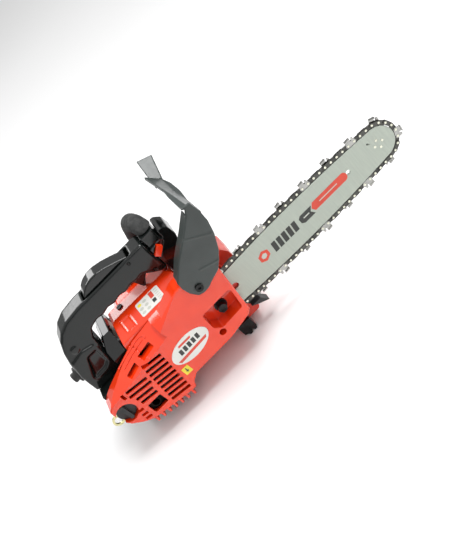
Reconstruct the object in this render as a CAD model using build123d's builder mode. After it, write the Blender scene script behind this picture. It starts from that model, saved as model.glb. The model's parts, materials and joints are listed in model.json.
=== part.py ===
from build123d import *
import math
import os

# Petrol top-handle chainsaw, millimetres.
# +X runs forward along the guide bar, +Y is the saw's left, +Z is up.
# The origin is on the ground plane, straight under the crankshaft axis,
# on the middle plane of the engine and of the top handle.

# ---------------------------------------------------------------- driving dimensions
AXIS_Z = 75.0            # crankshaft axis and bar centre line above the ground
BAR_Y = -36.0            # middle plane of the guide bar
BAR_T = 3.2              # guide bar thickness
NOSE_X = 340.0           # centre of the nose sprocket
NOSE_R = 22.9            # radius of the bar nose
BAR_TAIL_X = 30.0        # rear end of the guide bar
BAR_HALF = 28.4          # half height of the bar at its belly
BAR_BELLY_X = 190.0      # where the bar is tallest
STUD_X = 63.0            # bar stud position
STUD_R = 4.0             # bar stud radius

LINK_PAIRS = 44          # drive links in the chain loop
RIVET_LIFT = 4.0         # rivet line above the bar rail
DRIVE_SPROCKET_R = 19.8  # rivet circle on the drive sprocket
GAUGE = 1.3              # drive link thickness
STRAP_T = 1.15           # tie strap thickness

COVER_Y = -64.0          # outer face of the clutch cover
COVER_BACK_Y = -38.5     # inner rim of the clutch cover
WALL = 2.4               # casing wall

BAR_FACE_Y = BAR_Y + BAR_T / 2  # inner face of the bar, where it seats on the case
CASE_LEFT_Y = 24.0       # left face of the crankcase
STARTER_Y = 66.0         # outer face of the starter housing

HANDLE_HALF_W = 16.0     # half width of the top handle

GRIP_R = 12.0            # foam grip radius
TUBE_R = 8.0             # front handle tube radius
TUBE_X = 66.0            # where the tube enters the handle

GUARD_Y = -66.5          # inner face of the hand guard arm
GUARD_T = 3.6            # hand guard arm thickness
PIVOT_X = 66.0           # hand guard pivot
PIVOT_Z = 133.0

STROKE_R = 13.0          # crank throw
ROD_L = 32.0             # connecting rod length between centres
BORE_R = 17.0            # cylinder bore radius
JOURNAL_R = 6.0          # crankshaft journal radius

FIT = 0.05               # radial running clearance
GAP = 0.4                # clearance between separate moving pieces

os.makedirs("parts", exist_ok=True)


# ---------------------------------------------------------------- helpers
def side(y):
    """Plane facing the right side of the saw: sketch x is +X and sketch y is +Z."""
    return Plane(origin=(0, y, 0), x_dir=(1, 0, 0), z_dir=(0, -1, 0))


def left_side(y, x=0.0, z=0.0):
    """Plane facing the left side, with its own origin: sketch x is -X and sketch y is +Z."""
    return Plane(origin=(x, y, z), x_dir=(-1, 0, 0), z_dir=(0, 1, 0))


def right_side(y, x=0.0, z=0.0):
    """Plane facing the right side, with its own origin."""
    return Plane(origin=(x, y, z), x_dir=(1, 0, 0), z_dir=(0, -1, 0))


def level(z, x=0.0, y=0.0):
    """Horizontal plane facing up."""
    return Plane(origin=(x, y, z), x_dir=(1, 0, 0), z_dir=(0, 0, 1))


def ahead(x, y=0.0, z=0.0):
    """Plane facing forward: sketch x is +Y and sketch y is +Z."""
    return Plane(origin=(x, y, z), x_dir=(0, 1, 0), z_dir=(1, 0, 0))


def outline(points, radius=0.0, inset=0.0):
    """Closed polygon face with rounded corners, optionally drawn in by a wall thickness."""
    with BuildSketch() as face:
        with BuildLine():
            Polyline(*points, close=True)
        make_face()
        if radius:
            fillet(face.vertices(), radius)
        if inset:
            offset(amount=-inset)
    return face.sketch


def finish(builder, name):
    """Label a finished piece and write its STEP file."""
    builder.part.label = name
    export_step(builder.part, "parts/" + name + ".step")


# ---------------------------------------------------------------- guide bar
bar_slot_half = 4.2
belly_arc_top = [
    (BAR_TAIL_X + 8, AXIS_Z + 21.6),
    (BAR_BELLY_X, AXIS_Z + BAR_HALF),
    (NOSE_X + 1.5, AXIS_Z + NOSE_R),
]
with BuildPart() as guide_bar:
    with BuildSketch(side(BAR_Y)):
        with BuildLine():
            ThreePointArc(*belly_arc_top)
            ThreePointArc(
                (NOSE_X + 1.5, AXIS_Z + NOSE_R),
                (NOSE_X + NOSE_R, AXIS_Z),
                (NOSE_X + 1.5, AXIS_Z - NOSE_R),
            )
            ThreePointArc(*[(x, 2 * AXIS_Z - z) for x, z in reversed(belly_arc_top)])
            ThreePointArc(
                (BAR_TAIL_X + 8, AXIS_Z - 21.6),
                (BAR_TAIL_X, AXIS_Z),
                (BAR_TAIL_X + 8, AXIS_Z + 21.6),
            )
        make_face()
        with Locations((70.5, AXIS_Z)):
            SlotOverall(53, 2 * bar_slot_half, mode=Mode.SUBTRACT)
        with Locations((289.5, AXIS_Z + 1.5)):
            Circle(3.1, mode=Mode.SUBTRACT)
        with Locations((330.5, AXIS_Z + 9.5)):
            Circle(1.1, mode=Mode.SUBTRACT)
        with Locations((50, AXIS_Z + 12), (50, AXIS_Z - 12)):
            Circle(2.6, mode=Mode.SUBTRACT)
        with Locations((NOSE_X, AXIS_Z)):
            with PolarLocations(6.0, 4):
                Circle(1.7, mode=Mode.SUBTRACT)
    extrude(amount=BAR_T / 2, both=True)
    # the nose slot that the sprocket turns in
    with BuildSketch(side(BAR_Y)):
        with Locations((NOSE_X, AXIS_Z)):
            Circle(24)
        with Locations((NOSE_X - 23, AXIS_Z)):
            Rectangle(6, 60, mode=Mode.SUBTRACT)
    extrude(amount=0.8, both=True, mode=Mode.SUBTRACT)
    # the chain groove along both rails
    with BuildSketch(side(BAR_Y)):
        with BuildLine():
            ThreePointArc((20, AXIS_Z + 14), (BAR_BELLY_X, AXIS_Z + 21.5), (NOSE_X, AXIS_Z + 17.5))
            Polyline((NOSE_X, AXIS_Z + 17.5), (NOSE_X, AXIS_Z + 40), (20, AXIS_Z + 40), (20, AXIS_Z + 14))
        make_face()
        with BuildLine():
            ThreePointArc((20, AXIS_Z - 14), (BAR_BELLY_X, AXIS_Z - 21.5), (NOSE_X, AXIS_Z - 17.5))
            Polyline((NOSE_X, AXIS_Z - 17.5), (NOSE_X, AXIS_Z - 40), (20, AXIS_Z - 40), (20, AXIS_Z - 14))
        make_face()
    extrude(amount=0.8, both=True, mode=Mode.SUBTRACT)
finish(guide_bar, "guide_bar")

# the hub that carries the nose sprocket between the bar cheeks
with BuildPart() as nose_hub:
    with BuildSketch(side(BAR_Y)):
        with Locations((NOSE_X, AXIS_Z)):
            Circle(9.0)
    extrude(amount=0.78, both=True)
    with BuildSketch(side(BAR_Y)):
        with Locations((NOSE_X, AXIS_Z)):
            with PolarLocations(6.0, 4):
                Circle(1.7)
    extrude(amount=BAR_T / 2 + 0.25, both=True)
finish(nose_hub, "nose_hub")

with BuildPart() as nose_sprocket:
    with BuildSketch(side(BAR_Y)):
        with Locations((NOSE_X, AXIS_Z)):
            Circle(15.6)
            with PolarLocations(15.8, 9, start_angle=10):
                RegularPolygon(2.3, 3)
            Circle(9.0 + FIT, mode=Mode.SUBTRACT)
    extrude(amount=0.6, both=True)
finish(nose_sprocket, "nose_sprocket")


# ---------------------------------------------------------------- chain
def rail_height(x):
    """Rivet line above the bar centre line on the straight runs."""
    lead_in = 60.0
    rise = BAR_HALF - 6.3 * ((x - BAR_BELLY_X) / 155.0) ** 2 + RIVET_LIFT
    if x > lead_in:
        return rise
    at_bar = BAR_HALF - 6.3 * ((lead_in - BAR_BELLY_X) / 155.0) ** 2 + RIVET_LIFT
    return DRIVE_SPROCKET_R + (at_bar - DRIVE_SPROCKET_R) * x / lead_in


def chain_path():
    """Dense closed rivet line, clockwise from the top of the drive sprocket."""
    top = [(x, rail_height(x)) for x in range(0, int(NOSE_X) - 2, 2)]
    nose_radius = NOSE_R + RIVET_LIFT
    nose = [
        (NOSE_X + nose_radius * math.cos(math.radians(t)), nose_radius * math.sin(math.radians(t)))
        for t in range(90, -91, -3)
    ]
    bottom = [(x, -z) for x, z in reversed(top)]
    rear = [
        (DRIVE_SPROCKET_R * math.cos(math.radians(t)), DRIVE_SPROCKET_R * math.sin(math.radians(t)))
        for t in range(267, 90, -3)
    ]
    return [(x, z + AXIS_Z) for x, z in top + nose + bottom + rear]


def rivet_points(count):
    """Points evenly spaced along the closed rivet line."""
    path = chain_path()
    path.append(path[0])
    lengths = [0.0]
    for a, b in zip(path, path[1:]):
        lengths.append(lengths[-1] + math.dist(a, b))
    points = []
    segment = 0
    for index in range(count):
        target = lengths[-1] * index / count
        while lengths[segment + 1] < target:
            segment += 1
        t = (target - lengths[segment]) / (lengths[segment + 1] - lengths[segment])
        a = path[segment]
        b = path[segment + 1]
        points.append((a[0] + t * (b[0] - a[0]), a[1] + t * (b[1] - a[1])))
    return points


rivets = rivet_points(2 * LINK_PAIRS)
pitch = math.dist(rivets[20], rivets[21])
drive_places = []
strap_places = []
for number in range(2 * LINK_PAIRS):
    start = rivets[number]
    end = rivets[(number + 1) % len(rivets)]
    angle = math.degrees(math.atan2(end[1] - start[1], end[0] - start[0]))
    place = Location(((start[0] + end[0]) / 2, (start[1] + end[1]) / 2, 0), (0, 0, angle))
    if number % 2:
        strap_places.append(place)
    else:
        drive_places.append(place)
RIVET_HOLE = 1.75
RIVET_R = 1.6

with BuildSketch() as drive_link_face:
    SlotCenterToCenter(pitch, 5.6)
    with BuildLine():
        Polyline((-4.4, -2.0), (-2.6, -6.6), (0.6, -8.4), (2.4, -6.4), (4.6, -2.0), close=True)
    make_face()
    with Locations((-pitch / 2, 0), (pitch / 2, 0)):
        Circle(RIVET_HOLE, mode=Mode.SUBTRACT)

with BuildSketch() as strap_face:
    SlotCenterToCenter(pitch, 5.6)
    with Locations((-pitch / 2, 0), (pitch / 2, 0)):
        Circle(RIVET_HOLE, mode=Mode.SUBTRACT)

with BuildSketch() as cutter_face:
    SlotCenterToCenter(pitch, 5.6)
    with BuildLine():
        Polyline(
            (-6.8, 0.0), (-6.6, 7.0), (1.2, 8.3), (0.2, 4.2), (2.2, 2.9), (3.4, 7.0),
            (5.6, 6.6), (7.0, 1.0), close=True,
        )
    make_face()
    with Locations((-pitch / 2, 0), (pitch / 2, 0)):
        Circle(RIVET_HOLE, mode=Mode.SUBTRACT)

with BuildSketch() as top_plate_face:
    with BuildLine():
        Polyline((-6.6, 5.6), (-6.6, 7.0), (1.2, 8.3), (0.9, 6.9), close=True)
    make_face()

with BuildPart() as chain_drive_links:
    with BuildSketch(side(BAR_Y)):
        with Locations(*drive_places):
            add(drive_link_face.sketch)
    extrude(amount=GAUGE / 2, both=True)
finish(chain_drive_links, "chain_drive_links")

plate_inner = GAUGE / 2 + 0.02
right_straps = [place for i, place in enumerate(strap_places) if i % 4 != 0]
left_straps = [place for i, place in enumerate(strap_places) if i % 4 != 2]
with BuildPart() as chain_tie_straps:
    with BuildSketch(side(BAR_Y - plate_inner)):
        with Locations(*right_straps):
            add(strap_face.sketch)
    extrude(amount=STRAP_T)
    with BuildSketch(side(BAR_Y + plate_inner)):
        with Locations(*left_straps):
            add(strap_face.sketch)
    extrude(amount=-STRAP_T)
finish(chain_tie_straps, "chain_tie_straps")

right_cutters = strap_places[0::4]
left_cutters = strap_places[2::4]
with BuildPart() as chain_cutters:
    with BuildSketch(side(BAR_Y - plate_inner)):
        with Locations(*right_cutters):
            add(cutter_face.sketch)
    extrude(amount=STRAP_T)
    with BuildSketch(side(BAR_Y + 1.2)):
        with Locations(*right_cutters):
            add(top_plate_face.sketch)
    extrude(amount=4.6)
    with BuildSketch(side(BAR_Y + plate_inner)):
        with Locations(*left_cutters):
            add(cutter_face.sketch)
    extrude(amount=-STRAP_T)
    with BuildSketch(side(BAR_Y - 1.2)):
        with Locations(*left_cutters):
            add(top_plate_face.sketch)
    extrude(amount=-4.6)
finish(chain_cutters, "chain_cutters")

with BuildPart() as chain_rivets:
    with BuildSketch(side(BAR_Y)):
        with Locations(*rivets):
            Circle(RIVET_R)
    extrude(amount=GAUGE / 2 + STRAP_T + 0.35, both=True)
finish(chain_rivets, "chain_rivets")

# ---------------------------------------------------------------- engine
case_outline = [
    (-48, 22), (-30, 0), (76, 0), (92, 16), (98, 40), (98, 84), (117, 94),
    (117, 108), (111, 120), (100, 116), (46, 116), (34, 99), (-34, 99), (-48, 84),
]
CRANK_HALL_R = 24.0

with BuildPart() as crankcase_right:
    with BuildSketch(side(0)):
        add(outline(case_outline, 3))
    extrude(amount=22)
    # the wall that the bar bolts against, and the clutch side bearing seat
    with BuildSketch(side(-22)):
        with BuildLine():
            Polyline((40, 40), (40, 108), (96, 118), (98, 92), (98, 46), (82, 44), close=True)
        make_face()
    extrude(amount=9.6)
    # raised seat that the bar bolts against
    with BuildSketch(side(-31.6)):
        with Locations((68.7, AXIS_Z)):
            RectangleRounded(57.4, 31, 3)
    extrude(amount=BAR_FACE_Y * -1 - 31.6)
    with BuildSketch(side(0)):
        with Locations((0, AXIS_Z)):
            Circle(CRANK_HALL_R)
    extrude(amount=15, mode=Mode.SUBTRACT)
    with BuildSketch(side(-15)):
        with Locations((0, AXIS_Z)):
            Circle(14)
    extrude(amount=12, mode=Mode.SUBTRACT)
    # oil tank hollow in the nose of the case
    with BuildSketch(side(0)):
        with Locations((62, 34)):
            Rectangle(52, 40)
    extrude(amount=18, mode=Mode.SUBTRACT)
    with BuildSketch(level(120)):
        with Locations((0, 0)):
            Circle(BORE_R + 2)
    extrude(amount=-40, mode=Mode.SUBTRACT)
    # blind holes for the two bar studs' roots and the chain tension screw
    with BuildSketch(side(BAR_FACE_Y)):
        with Locations((STUD_X, AXIS_Z)):
            Circle(STUD_R)
    extrude(amount=-14, mode=Mode.SUBTRACT)
    with BuildSketch(ahead(99, BAR_Y + 8, 57)):
        Circle(3.0 + FIT)
    extrude(amount=-34, mode=Mode.SUBTRACT)
    # the underside rises towards the chain side
    with BuildSketch(ahead(-50)):
        with BuildLine():
            Polyline((-4, -1), (-4, 0), (-22, 13), (-32, 14), (-32, -1), close=True)
        make_face()
    extrude(amount=150, mode=Mode.SUBTRACT)
finish(crankcase_right, "crankcase_right")

with BuildPart() as crankcase_left:
    with BuildSketch(side(0)):
        add(outline(case_outline, 3))
    extrude(amount=-CASE_LEFT_Y)
    with BuildSketch(side(0)):
        with Locations((0, AXIS_Z)):
            Circle(CRANK_HALL_R)
    extrude(amount=-15, mode=Mode.SUBTRACT)
    with BuildSketch(side(15)):
        with Locations((0, AXIS_Z)):
            Circle(14)
    extrude(amount=-12, mode=Mode.SUBTRACT)
    with BuildSketch(side(0)):
        with Locations((62, 30)):
            Rectangle(52, 48)
    extrude(amount=-18, mode=Mode.SUBTRACT)
    with BuildSketch(level(120)):
        with Locations((0, 0)):
            Circle(BORE_R + 2)
    extrude(amount=-40, mode=Mode.SUBTRACT)
    # oil filler neck hole on the left face
    with BuildSketch(left_side(CASE_LEFT_Y, 66, 34)):
        Circle(10)
    extrude(amount=-8, mode=Mode.SUBTRACT)
finish(crankcase_left, "crankcase_left")

with BuildPart() as main_bearings:
    for y in (-15.2, 15.2):
        with BuildSketch(side(y)):
            with Locations((0, AXIS_Z)):
                Circle(13.98)
                Circle(JOURNAL_R, mode=Mode.SUBTRACT)
        extrude(amount=6.5 if y < 0 else -6.5)
finish(main_bearings, "main_bearings")

pin_z = AXIS_Z + STROKE_R
wrist_z = pin_z + ROD_L
with BuildPart() as crankshaft:
    with BuildSketch(side(-6)):
        with Locations((0, AXIS_Z)):
            Circle(21)
        with Locations((0, AXIS_Z + 21)):
            Rectangle(26, 8, mode=Mode.SUBTRACT)
    extrude(amount=8)
    with BuildSketch(side(6)):
        with Locations((0, AXIS_Z)):
            Circle(21)
        with Locations((0, AXIS_Z + 21)):
            Rectangle(26, 8, mode=Mode.SUBTRACT)
    extrude(amount=-8)
    with BuildSketch(side(0)):
        with Locations((0, pin_z)):
            Circle(5)
    extrude(amount=8, both=True)
    with BuildSketch(side(-10)):
        with Locations((0, AXIS_Z)):
            Circle(JOURNAL_R)
    extrude(amount=49)
    with BuildSketch(side(10)):
        with Locations((0, AXIS_Z)):
            Circle(JOURNAL_R)
    extrude(amount=-37)
finish(crankshaft, "crankshaft")

with BuildPart() as connecting_rod:
    with BuildSketch(side(0)):
        with Locations((0, pin_z)):
            Circle(9)
        with Locations((0, wrist_z)):
            Circle(6)
        with Locations((0, (pin_z + wrist_z) / 2)):
            Rectangle(7, ROD_L)
        with Locations((0, pin_z)):
            Circle(5 + FIT, mode=Mode.SUBTRACT)
        with Locations((0, wrist_z)):
            Circle(4 + FIT, mode=Mode.SUBTRACT)
    extrude(amount=4.5, both=True)
finish(connecting_rod, "connecting_rod")

with BuildPart() as piston:
    with BuildSketch(level(wrist_z + 8.5)):
        Circle(BORE_R - FIT)
    extrude(amount=-20)
    with BuildSketch(level(wrist_z + 6.5)):
        Rectangle(34, 12)
    extrude(amount=-30, mode=Mode.SUBTRACT)
    with BuildSketch(side(0)):
        with Locations((0, wrist_z)):
            Circle(4)
    extrude(amount=14, both=True)
finish(piston, "piston")

FIN_PITCH = 5.0
cylinder_base = 99.4
cylinder_top = 137.4
with BuildPart() as cylinder:
    with BuildSketch(level(cylinder_base)):
        RectangleRounded(44, 44, 5)
    extrude(amount=3)
    with BuildSketch(level(cylinder_base)):
        Circle(BORE_R + 3.5)
    extrude(amount=cylinder_top - cylinder_base)
    for number in range(7):
        with BuildSketch(level(cylinder_base + 4.5 + number * FIN_PITCH)):
            RectangleRounded(50, 36, 9)
        extrude(amount=1.6)
    # the intake and exhaust flanges on the rear and right rear
    with BuildSketch(ahead(-31, 4, 111)):
        Rectangle(22, 18)
    extrude(amount=14)
    with BuildSketch(level(wrist_z + 9.5)):
        Circle(BORE_R)
    extrude(amount=-60, mode=Mode.SUBTRACT)
    with BuildSketch(ahead(-32, 4, 111)):
        Circle(6)
    extrude(amount=20, mode=Mode.SUBTRACT)
    # spark plug thread in the head, from the front
    with BuildSketch(ahead(30, 0, 133.8)):
        Circle(4)
    extrude(amount=-20, mode=Mode.SUBTRACT)
finish(cylinder, "cylinder")

with BuildPart() as spark_plug:
    with BuildSketch(ahead(11, 0, 133.8)):
        Circle(4)
    extrude(amount=16)
    with BuildSketch(ahead(27, 0, 133.8)):
        RegularPolygon(6, 6)
    extrude(amount=5)
    with BuildSketch(ahead(32, 0, 133.8)):
        Circle(2.2)
    extrude(amount=8)
finish(spark_plug, "spark_plug")

with BuildPart() as ignition_coil:
    with BuildSketch(side(28)):
        with Locations((0, AXIS_Z + 46)):
            Rectangle(30, 12)
    extrude(amount=-12)
    with BuildSketch(side(29)):
        with Locations((-11, AXIS_Z + 38.8), (11, AXIS_Z + 38.8)):
            Rectangle(6, 3)
    extrude(amount=-8)
finish(ignition_coil, "ignition_coil")

# ---------------------------------------------------------------- intake
with BuildPart() as intake_boot:
    with BuildSketch(ahead(-38, 4, 111)):
        Circle(9)
        Circle(6, mode=Mode.SUBTRACT)
    extrude(amount=7)
finish(intake_boot, "intake_boot")

with BuildPart() as carburettor:
    with BuildSketch(ahead(-60, 4, 111)):
        RectangleRounded(32, 28, 3)
    extrude(amount=22)
    with BuildSketch(ahead(-60, 4, 111)):
        Circle(6)
    extrude(amount=22, mode=Mode.SUBTRACT)
    with BuildSketch(level(97)):
        with Locations((-49, 4)):
            Circle(8)
    extrude(amount=-5)
finish(carburettor, "carburettor")

with BuildPart() as air_filter:
    with BuildSketch(ahead(-74.5, 12, 116)):
        RectangleRounded(50, 32, 6)
    extrude(amount=14)
finish(air_filter, "air_filter")

filter_profile = [(-79, 98), (-79.2, 130), (-70, 142), (-58.5, 142), (-58.5, 134), (-60.5, 98)]
with BuildPart() as air_filter_cover:
    with BuildSketch(side(-34)):
        add(outline(filter_profile, 1.5))
    extrude(amount=-74)
    # the near shoulder slopes down beside the top cover
    with BuildSketch(ahead(-90)):
        with BuildLine():
            Polyline((-36, 119), (-7, 143), (-7, 150), (-36, 150), close=True)
        make_face()
    extrude(amount=40, mode=Mode.SUBTRACT)
    with BuildSketch(side(-13.5)):
        add(outline([(-90, 90), (-90, 97), (-77, 97), (-77, 133.5), (-57, 133.5), (-50, 90)]))
    extrude(amount=-51, mode=Mode.SUBTRACT)
finish(air_filter_cover, "air_filter_cover")

with BuildPart() as filter_knob:
    with BuildSketch(left_side(40.2, -68, 121)):
        RegularPolygon(8, 8)
    extrude(amount=7)
finish(filter_knob, "filter_knob")

# ---------------------------------------------------------------- muffler
with BuildPart() as muffler:
    with BuildSketch(side(-24)):
        add(outline([(-96, 42), (-96, 84), (-84, 90.5), (-40, 94), (-40, 48), (-50, 38), (-90, 38)], 4))
    extrude(amount=33)
    fillet(muffler.edges().group_by(Axis.Y)[0], 3)
    # the outlet faces the window at the lower rear of the grille
    with BuildSketch(side(-55)):
        with Locations((-82, 50)):
            Circle(6.6)
    extrude(amount=5.5)
    with BuildSketch(side(-61)):
        with Locations((-82, 50)):
            Circle(5.2)
    extrude(amount=-14, mode=Mode.SUBTRACT)
finish(muffler, "muffler")

# ---------------------------------------------------------------- clutch and drive
with BuildPart() as clutch_drum:
    with BuildSketch(side(-45)):
        with Locations((0, AXIS_Z)):
            Circle(30)
    extrude(amount=14)
    with BuildSketch(side(-47)):
        with Locations((0, AXIS_Z)):
            Circle(28)
    extrude(amount=13, mode=Mode.SUBTRACT)
    with BuildSketch(side(-30)):
        with Locations((0, AXIS_Z)):
            Circle(JOURNAL_R + 3)
    extrude(amount=15.5)
    with BuildSketch(side(-20)):
        with Locations((0, AXIS_Z)):
            Circle(JOURNAL_R + 1.6 + FIT)
    extrude(amount=40, mode=Mode.SUBTRACT)
finish(clutch_drum, "clutch_drum")

with BuildPart() as rim_sprocket:
    with BuildSketch(side(-33)):
        with Locations((0, AXIS_Z)):
            Circle(10.0)
            with PolarLocations(9.2, 7):
                Circle(1.5)
            Circle(JOURNAL_R + 3, mode=Mode.SUBTRACT)
    extrude(amount=6)
finish(rim_sprocket, "rim_sprocket")

with BuildPart() as needle_bearing:
    with BuildSketch(side(-30.2)):
        with Locations((0, AXIS_Z)):
            Circle(JOURNAL_R + 1.6)
            Circle(JOURNAL_R + FIT, mode=Mode.SUBTRACT)
    extrude(amount=15)
finish(needle_bearing, "needle_bearing")

with BuildPart() as clutch_hub:
    with BuildSketch(side(-48)):
        with Locations((0, AXIS_Z)):
            Circle(9)
            Rectangle(36, 8)
            Circle(JOURNAL_R + FIT, mode=Mode.SUBTRACT)
    extrude(amount=10)
finish(clutch_hub, "clutch_hub")

with BuildPart() as clutch_shoes:
    with BuildSketch(side(-48.3)):
        with Locations((0, AXIS_Z)):
            Circle(26.5)
            Circle(13, mode=Mode.SUBTRACT)
            Rectangle(60, 9, mode=Mode.SUBTRACT)
    extrude(amount=9)
finish(clutch_shoes, "clutch_shoes")

with BuildPart() as clutch_spring:
    with BuildSketch(side(-50)):
        with Locations((0, AXIS_Z)):
            Circle(12.8)
            Circle(10.8, mode=Mode.SUBTRACT)
            Rectangle(60, 9, mode=Mode.SUBTRACT)
    extrude(amount=3)
finish(clutch_spring, "clutch_spring")

with BuildPart() as brake_band:
    with BuildSketch(side(-47)):
        with Locations((0, AXIS_Z)):
            Circle(31.6)
            Circle(30.7, mode=Mode.SUBTRACT)
            Rectangle(12, 12, mode=Mode.SUBTRACT)
        with Locations((34, AXIS_Z)):
            Rectangle(14, 14, mode=Mode.SUBTRACT)
        with Locations((33.4, AXIS_Z + 12)):
            Rectangle(8, 3.5)
    extrude(amount=9)
finish(brake_band, "brake_band")

with BuildPart() as oil_pump:
    with BuildSketch(side(-22.3)):
        with Locations((8, AXIS_Z - 26)):
            RectangleRounded(40, 18, 4)
    extrude(amount=8)
finish(oil_pump, "oil_pump")

# ---------------------------------------------------------------- clutch cover
cover_outline = [
    (-118, 96.5), (-127.5, 89), (-129, 68), (-123, 54), (-112, 43), (-100, 35), (-42, 25),
    (-34, 25), (-30, 33), (-20, 40), (44, 41), (80, 48), (86, 54), (98, 129),
    (54, 148), (42, 148), (34, 145), (6, 133), (-34, 130), (-54, 122.5), (-80, 113), (-107, 102),
]
CAP_X = -115.0
CAP_Z = 71.0
with BuildPart() as clutch_cover:
    with BuildSketch(side(COVER_BACK_Y)):
        add(outline(cover_outline, 2.2))
    extrude(amount=COVER_BACK_Y - COVER_Y)
    chamfer(clutch_cover.faces().sort_by(Axis.Y)[0].edges(), 1.2)
    # the rear upper facet leans in towards the engine
    rear_facet = Plane(origin=(-76, COVER_Y, 100), x_dir=(104, 0, 15), z_dir=(-0.12, -0.62, 0.78))
    with BuildSketch(rear_facet):
        Rectangle(140, 120)
    extrude(amount=40, mode=Mode.SUBTRACT)
    # the front upper facet, from the crease over the clutch to the peak
    front_facet = Plane(origin=(0, COVER_Y, 126), x_dir=(0.88, 0, 0.47), z_dir=(-0.36, -0.62, 0.70))
    with BuildSketch(front_facet):
        with Locations((0, 30)):
            Rectangle(92, 60)
    extrude(amount=30, mode=Mode.SUBTRACT)
    # hollow inside
    with BuildSketch(side(COVER_BACK_Y + 1)):
        add(outline(cover_outline, 2.2, inset=WALL))
        with BuildLine():
            Polyline((38, 92), (38, 30), (100, 30), (110, 92), close=True)
        make_face(mode=Mode.SUBTRACT)
        with BuildLine():
            Polyline((-140, 89), (-140, 40), (-98, 40), (-98, 89), close=True)
        make_face(mode=Mode.SUBTRACT)
        with BuildLine():
            Polyline(
                (-140, 87), (-60, 97.5), (0, 108.5), (14, 110), (34, 122), (34, 170), (-140, 170),
                close=True,
            )
        make_face(mode=Mode.SUBTRACT)
    extrude(amount=COVER_BACK_Y + 1 - COVER_Y - WALL, mode=Mode.SUBTRACT)
    with BuildSketch(side(COVER_BACK_Y + 1)):
        with BuildLine():
            Polyline((-100, 90), (10, 105), (34, 119), (10, 118), (-50, 112), (-76, 104), close=True)
        make_face()
    extrude(amount=10, mode=Mode.SUBTRACT)
    # pocket for the bar nut, open to the right
    with BuildSketch(side(COVER_Y - 1)):
        add(outline([(40, 96), (88, 97), (82, 64), (46, 62), (38, 71)], 4))
    extrude(amount=-22, mode=Mode.SUBTRACT)
    with BuildSketch(side(COVER_Y - 1)):
        with Locations((STUD_X, AXIS_Z)):
            Circle(STUD_R + 0.5)
    extrude(amount=-40, mode=Mode.SUBTRACT)
    # access hole to the chain tension screw
    with BuildSketch(side(COVER_Y - 1)):
        with Locations((42, 57)):
            Circle(4.8)
    extrude(amount=-18, mode=Mode.SUBTRACT)
    # round opening around the fuel cap
    with BuildSketch(side(COVER_Y - 1)):
        with Locations((CAP_X, CAP_Z)):
            Circle(14.6)
    extrude(amount=-40, mode=Mode.SUBTRACT)
    # cooling slots: the wide column over the muffler
    slot_column = [(-44 - 1.1 * number, 93 - 8.1 * number) for number in range(-1, 8)]
    with BuildSketch(side(COVER_Y - 1)):
        for x, z in slot_column:
            with Locations(Location((x, z, 0), (0, 0, -8))):
                RectangleRounded(29, 4.8, 0.8)
    extrude(amount=-12, mode=Mode.SUBTRACT)
    # the narrower column behind it
    with BuildSketch(side(COVER_Y - 1)):
        for x, z, length in ((-79, 91.5, 32), (-80, 83, 34), (-81, 74, 26), (-81, 65.5, 25)):
            with Locations(Location((x, z, 0), (0, 0, -8))):
                RectangleRounded(length, 4.8, 0.8)
        for z in (60, 51.5, 44):
            with Locations(Location((-102, z, 0), (0, 0, -10))):
                RectangleRounded(9, 4.2, 0.8)
        with Locations((-81, 49)):
            RectangleRounded(22, 17, 1.5)
        with Locations((-101, 92)):
            Rectangle(4, 9)
    extrude(amount=-12, mode=Mode.SUBTRACT)
    # windows high on the leaning facet
    with BuildSketch(side(COVER_Y - 1)):
        for corners in (
            [(-52, 113), (-29, 117.2), (-27, 111.5), (-49, 107)],
            [(-79, 106), (-59.6, 111), (-58.5, 106), (-76.6, 101.5)],
        ):
            add(outline(corners, 0.8))
    extrude(amount=-30, mode=Mode.SUBTRACT)
    # comb of guard teeth along the bottom edge
    for number in range(7):
        x = -98.5 + number * 9.4
        with BuildSketch(level(36 - number * 1.6, x, -51)):
            Rectangle(3.0, 22)
        extrude(amount=-9.5)
finish(clutch_cover, "clutch_cover")

# ---------------------------------------------------------------- bar fastening
with BuildPart() as bar_stud:
    with BuildSketch(side(-21)):
        with Locations((STUD_X, AXIS_Z)):
            Circle(STUD_R)
    extrude(amount=32)
finish(bar_stud, "bar_stud")

with BuildPart() as bar_nut:
    with BuildSketch(side(-43.0)):
        with Locations((STUD_X, AXIS_Z)):
            Circle(8.6)
            Circle(STUD_R, mode=Mode.SUBTRACT)
    extrude(amount=1.8)
    with BuildSketch(side(-44.8)):
        with Locations((STUD_X, AXIS_Z)):
            RegularPolygon(6.6, 6)
            Circle(STUD_R, mode=Mode.SUBTRACT)
    extrude(amount=9)
finish(bar_nut, "bar_nut")

with BuildPart() as tension_screw:
    with BuildSketch(ahead(67, BAR_Y + 8, 57)):
        Circle(3.0)
    extrude(amount=31)
    with BuildSketch(ahead(98, BAR_Y + 8, 57)):
        Circle(4.2)
        Rectangle(9, 1.2, mode=Mode.SUBTRACT)
    extrude(amount=2.6)
finish(tension_screw, "tension_screw")

with BuildPart() as chain_catcher:
    # fin beside the chain, screwed to the case, and the hook that reaches under the chain
    with BuildSketch(side(-22)):
        with BuildLine():
            Polyline((84, 42), (86, 36), (93, 33), (96, 42), close=True)
        make_face()
    extrude(amount=5)
    with BuildSketch(side(-26)):
        with BuildLine():
            Polyline((84, 42), (86, 36), (96, 30), (109, 24), (101, 37), (97, 43), close=True)
        make_face()
    extrude(amount=6)
    with BuildSketch(side(-32)):
        with BuildLine():
            Polyline((87, 35.4), (96, 30), (109, 24), (102, 35.4), close=True)
        make_face()
    extrude(amount=7)
finish(chain_catcher, "chain_catcher")

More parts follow.
